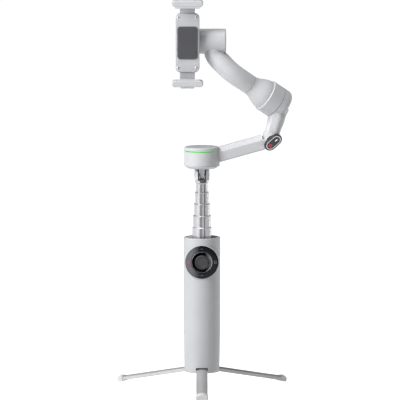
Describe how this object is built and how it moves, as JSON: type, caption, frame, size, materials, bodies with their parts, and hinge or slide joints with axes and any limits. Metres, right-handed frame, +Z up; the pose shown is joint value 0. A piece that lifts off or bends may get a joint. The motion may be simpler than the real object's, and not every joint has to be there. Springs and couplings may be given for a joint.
{
  "type": "gimbal stabilizer",
  "caption": "Hand-held phone gimbal: round handle with control pad, telescopic stick, motorised pan, roll and tilt arms, a phone clamp, and a fold-out tripod in its base.",
  "frame": {"origin": "mouth of the quarter-inch tripod socket, on the handle's axis, in the face of its base", "axes": "+Z up along the handle and stick, -Y towards the side with the control pad and phone screen, +X towards the side the lower arm reaches out"},
  "size_m": [0.1749, 0.1481, 0.3901],
  "materials": {
    "shell_grey": "fine satin moulded plastic",
    "head_grey": "smooth satin moulded plastic",
    "polished_tube": "polished, fine draw lines along the tube",
    "leg_aluminium": "satin polished",
    "gloss_black": "gloss",
    "matte_black": "matt",
    "graphite": "satin",
    "foot_rubber": "light matt rubber",
    "pad_rubber": "dark ribbed rubber",
    "thumb_rubber": "fine textured rubber",
    "hardware_steel": "turned steel",
    "insert_brass": "turned brass",
    "winding_copper": "enamelled copper wire",
    "magnet_nickel": "nickel plated",
    "led_green": "lit green light guide",
    "board_green": "solder mask",
    "cell_wrap": "shrink wrap"
  },
  "bodies": {
    "handle": {"grip_shell": "shell_grey", "grip_top_collar": "shell_grey", "base_cap": "shell_grey", "base_screws": "hardware_steel", "socket_insert": "insert_brass", "leg_hinge_pins": "hardware_steel", "inner_chassis": "graphite", "battery_cell": "cell_wrap", "main_board": "board_green", "usb_socket": "hardware_steel", "joystick_well": "gloss_black"},
    "control_ring": {"control_ring": "gloss_black"},
    "joystick_frame": {"joystick_gimbal": "graphite"},
    "joystick": {"joystick_cap": "thumb_rubber"},
    "trigger": {"trigger": "shell_grey"},
    "leg_front": {"leg_front": "leg_aluminium", "foot_front": "foot_rubber"},
    "leg_left": {"leg_left": "leg_aluminium", "foot_left": "foot_rubber"},
    "leg_right": {"leg_right": "leg_aluminium", "foot_right": "foot_rubber"},
    "stick_1": {"stick_tube_1": "polished_tube"},
    "stick_2": {"stick_tube_2": "polished_tube"},
    "stick_3": {"stick_tube_3": "polished_tube"},
    "stick_4": {"stick_tube_4": "polished_tube"},
    "stick_5": {"stick_tube_5": "polished_tube", "stick_collar": "polished_tube", "tilt_fork": "head_grey", "tilt_liners": "matte_black", "tilt_pin": "hardware_steel"},
    "head_base": {"pan_base": "head_grey", "pan_shaft": "hardware_steel", "pan_stator": "magnet_nickel", "pan_windings": "winding_copper"},
    "pan_arm": {"pan_housing": "head_grey", "pan_top_cap": "head_grey", "led_ring": "led_green", "pan_magnets": "magnet_nickel", "pan_bearing": "hardware_steel", "lower_arm": "head_grey", "fold_block": "head_grey", "fold_pin": "hardware_steel", "fold_cap": "matte_black"},
    "fold_arm": {"upper_arm": "head_grey", "roll_stator": "magnet_nickel", "roll_bearing": "hardware_steel"},
    "roll_arm": {"roll_rotor": "magnet_nickel", "roll_housing": "head_grey", "tilt_arm": "head_grey", "tilt_housing": "head_grey", "tilt_end_cap": "head_grey", "tilt_stator": "magnet_nickel"},
    "clamp": {"tilt_rotor": "magnet_nickel", "tilt_hub": "head_grey", "clamp_plate": "head_grey", "clamp_pad": "pad_rubber"},
    "upper_jaw": {"upper_jaw": "head_grey", "upper_jaw_pad": "pad_rubber"},
    "lower_jaw": {"lower_jaw": "head_grey", "lower_jaw_pad": "pad_rubber"}
  },
  "joints": [
    {"name": "stick_1_slide", "type": "slide", "parent": "handle", "child": "stick_1", "axis": [0, 0, 1], "range_m": [-0.0268, 0.028]},
    {"name": "stick_2_slide", "type": "slide", "parent": "stick_1", "child": "stick_2", "axis": [0, 0, 1], "range_m": [-0.0108, 0.03]},
    {"name": "stick_3_slide", "type": "slide", "parent": "stick_2", "child": "stick_3", "axis": [0, 0, 1], "range_m": [-0.0109, 0.03]},
    {"name": "stick_4_slide", "type": "slide", "parent": "stick_3", "child": "stick_4", "axis": [0, 0, 1], "range_m": [-0.0107, 0.03]},
    {"name": "stick_5_slide", "type": "slide", "parent": "stick_4", "child": "stick_5", "axis": [0, 0, 1], "range_m": [-0.0091, 0.03]},
    {"name": "head_tilt", "type": "hinge", "parent": "stick_5", "child": "head_base", "pos_m": [0, 0, 0.1968], "axis": [-1, 0, 0], "range_deg": [0, 85]},
    {"name": "pan", "type": "hinge", "parent": "head_base", "child": "pan_arm", "pos_m": [0, 0, 0.2145], "axis": [0, 0, 1], "continuous": true},
    {"name": "fold", "type": "hinge", "parent": "pan_arm", "child": "fold_arm", "pos_m": [0.0704, -0.008, 0.231], "axis": [-0.3346, 0.866, 0.3716], "range_deg": [0, 90]},
    {"name": "roll", "type": "hinge", "parent": "fold_arm", "child": "roll_arm", "pos_m": [0.0735, 0.019, 0.268], "axis": [0.7874, 0.2756, -0.5514], "range_deg": [-60, 60]},
    {"name": "tilt", "type": "hinge", "parent": "roll_arm", "child": "clamp", "pos_m": [-0.0144, 0.0115, 0.3295], "axis": [1, 0, 0], "range_deg": [-35, 45]},
    {"name": "upper_jaw_slide", "type": "slide", "parent": "clamp", "child": "upper_jaw", "axis": [0, 0, 1], "range_m": [-0.00475, 0.00525]},
    {"name": "lower_jaw_slide", "type": "slide", "parent": "clamp", "child": "lower_jaw", "axis": [0, 0, 1], "range_m": [-0.00525, 0.00475]},
    {"name": "leg_front_hinge", "type": "hinge", "parent": "handle", "child": "leg_front", "pos_m": [0, -0.0136, 0.0024], "axis": [1, 0, 0], "range_deg": [0, 80]},
    {"name": "leg_left_hinge", "type": "hinge", "parent": "handle", "child": "leg_left", "pos_m": [-0.01178, 0.0068, 0.0024], "axis": [-0.5, -0.866, 0], "range_deg": [0, 80]},
    {"name": "leg_right_hinge", "type": "hinge", "parent": "handle", "child": "leg_right", "pos_m": [0.01178, 0.0068, 0.0024], "axis": [-0.5, 0.866, 0], "range_deg": [0, 80]},
    {"name": "joystick_pitch", "type": "hinge", "parent": "handle", "child": "joystick_frame", "pos_m": [0, -0.014, 0.1117], "axis": [1, 0, 0], "range_deg": [-12, 12], "stiffness_Nm_per_rad": 0.02},
    {"name": "joystick_yaw", "type": "hinge", "parent": "joystick_frame", "child": "joystick", "pos_m": [0, -0.014, 0.1117], "axis": [0, 0, 1], "range_deg": [-12, 12], "stiffness_Nm_per_rad": 0.02},
    {"name": "control_ring_press", "type": "slide", "parent": "handle", "child": "control_ring", "axis": [0, 1, 0], "range_m": [0, 0.0004], "stiffness_N_per_m": 2500, "springref_m": -0.0002},
    {"name": "trigger_press", "type": "slide", "parent": "handle", "child": "trigger", "axis": [0, -1, 0], "range_m": [0, 0.0015], "stiffness_N_per_m": 1200, "springref_m": -0.0004}
  ],
  "couplings": [
    {"joint": "lower_jaw_slide", "follows": "upper_jaw_slide", "ratio": -1}
  ]
}
